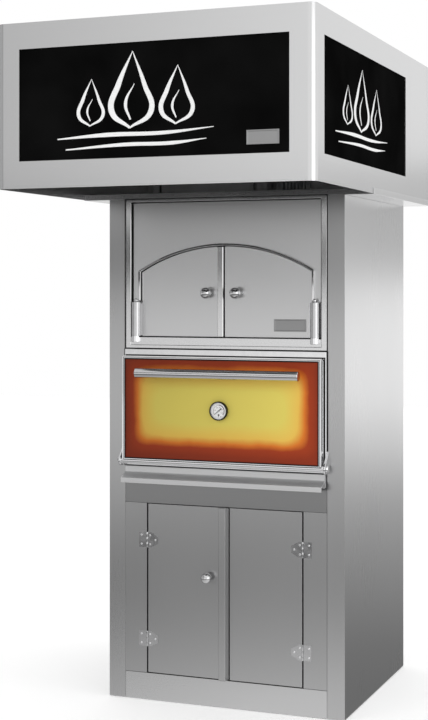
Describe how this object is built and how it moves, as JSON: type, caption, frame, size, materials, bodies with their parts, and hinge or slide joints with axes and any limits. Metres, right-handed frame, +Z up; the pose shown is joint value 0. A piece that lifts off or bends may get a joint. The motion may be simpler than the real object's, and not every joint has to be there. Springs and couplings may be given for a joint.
{
  "type": "charcoal oven",
  "caption": "Charcoal oven in a steel column with a drop-down door, ash drawer, store cupboard, arched warming cabinet and an overhanging extraction hood.",
  "frame": {"origin": "on the floor, in the middle of the whole footprint", "axes": "+X to the cook's right, +Y from the door towards the back, +Z up"},
  "size_m": [1.157, 1.53, 2.535],
  "materials": {
    "brushed_stainless": "fine brushed",
    "polished_stainless": "mirror polished",
    "satin_handle": "satin tube",
    "plain_sheet_steel": "mill finish",
    "heat_darkened_steel": "heat-darkened, sooty",
    "cast_iron": "seasoned, rough",
    "insulation_blanket": "ceramic fibre blanket",
    "sunburst_paint": "lacquered burst from yellow to red-brown",
    "black_sign": "gloss black sheet",
    "black_bezel": "black enamel",
    "dial_white": "matt white",
    "dial_glass": "clear",
    "needle_black": "matt black"
  },
  "bodies": {
    "cabinet": {"left_side_panel": "brushed_stainless", "right_side_panel": "brushed_stainless", "back_panel": "brushed_stainless", "toe_plate": "brushed_stainless", "hinge_strips": "brushed_stainless", "fascia_panel": "brushed_stainless", "warm_surround": "brushed_stainless", "warm_face": "brushed_stainless", "warm_sill": "brushed_stainless", "hood_tray": "brushed_stainless", "hood_front_panel": "brushed_stainless", "hood_left_panel": "brushed_stainless", "hood_right_panel": "brushed_stainless", "hood_back_panel": "brushed_stainless", "hood_top_panel": "brushed_stainless", "duct_spigot": "brushed_stainless", "plenum_panel": "brushed_stainless", "fixed_hinge_leaves": "polished_stainless", "oven_front_frame": "polished_stainless", "door_hinge_lugs": "polished_stainless", "arch_trim": "polished_stainless", "barrel_hinge_pins": "polished_stainless", "base_floor": "plain_sheet_steel", "inner_frame": "plain_sheet_steel", "levelling_feet": "plain_sheet_steel", "oven_casing": "plain_sheet_steel", "flue_pipe": "plain_sheet_steel", "ash_drawer_runners": "plain_sheet_steel", "warm_case": "plain_sheet_steel", "warm_shelf": "plain_sheet_steel", "grease_filters": "plain_sheet_steel", "oven_firebox": "heat_darkened_steel", "charcoal_grate": "cast_iron", "cooking_grid": "cast_iron", "oven_insulation": "insulation_blanket", "sign_panels": "black_sign"},
    "oven_door": {"oven_door_rim": "polished_stainless", "oven_door_panel": "sunburst_paint", "oven_door_liner": "heat_darkened_steel", "door_pivot_shaft": "polished_stainless", "door_handle": "satin_handle", "thermometer_case": "black_bezel", "thermometer_dial": "dial_white", "thermometer_glass": "dial_glass"},
    "needle": {"thermometer_needle": "needle_black"},
    "cupboard_left": {"cupboard_door_left": "brushed_stainless", "cupboard_strip": "brushed_stainless", "cupboard_knob": "polished_stainless", "left_door_leaves": "polished_stainless"},
    "cupboard_right": {"cupboard_door_right": "brushed_stainless", "right_door_leaves": "polished_stainless"},
    "ash_drawer": {"ash_drawer_front": "brushed_stainless", "ash_drawer_pan": "plain_sheet_steel"},
    "warm_left": {"warm_door_left": "brushed_stainless", "warm_door_strip": "brushed_stainless", "warm_knob_left": "polished_stainless", "left_hinge_barrel": "polished_stainless"},
    "warm_right": {"warm_door_right": "brushed_stainless", "warm_knob_right": "polished_stainless", "right_hinge_barrel": "polished_stainless"}
  },
  "joints": [
    {"name": "oven_door_hinge", "type": "hinge", "parent": "cabinet", "child": "oven_door", "pos_m": [0, -0.115, 0.912], "axis": [1, 0, 0], "range_deg": [0, 90]},
    {"name": "needle_turn", "type": "hinge", "parent": "oven_door", "child": "needle", "pos_m": [0, -0.1377, 1.112], "axis": [0, 1, 0], "range_deg": [0, 260]},
    {"name": "cupboard_left_hinge", "type": "hinge", "parent": "cabinet", "child": "cupboard_left", "pos_m": [-0.3105, -0.0886, 0.42], "axis": [0, 0, 1], "range_deg": [-110, 0]},
    {"name": "cupboard_right_hinge", "type": "hinge", "parent": "cabinet", "child": "cupboard_right", "pos_m": [0.3105, -0.0886, 0.42], "axis": [0, 0, 1], "range_deg": [0, 110]},
    {"name": "ash_drawer_slide", "type": "slide", "parent": "cabinet", "child": "ash_drawer", "axis": [0, -1, 0], "range_m": [0, 0.28]},
    {"name": "warm_left_hinge", "type": "hinge", "parent": "cabinet", "child": "warm_left", "pos_m": [-0.357, -0.088, 1.45], "axis": [0, 0, 1], "range_deg": [-110, 0]},
    {"name": "warm_right_hinge", "type": "hinge", "parent": "cabinet", "child": "warm_right", "pos_m": [0.357, -0.088, 1.45], "axis": [0, 0, 1], "range_deg": [0, 110]}
  ]
}
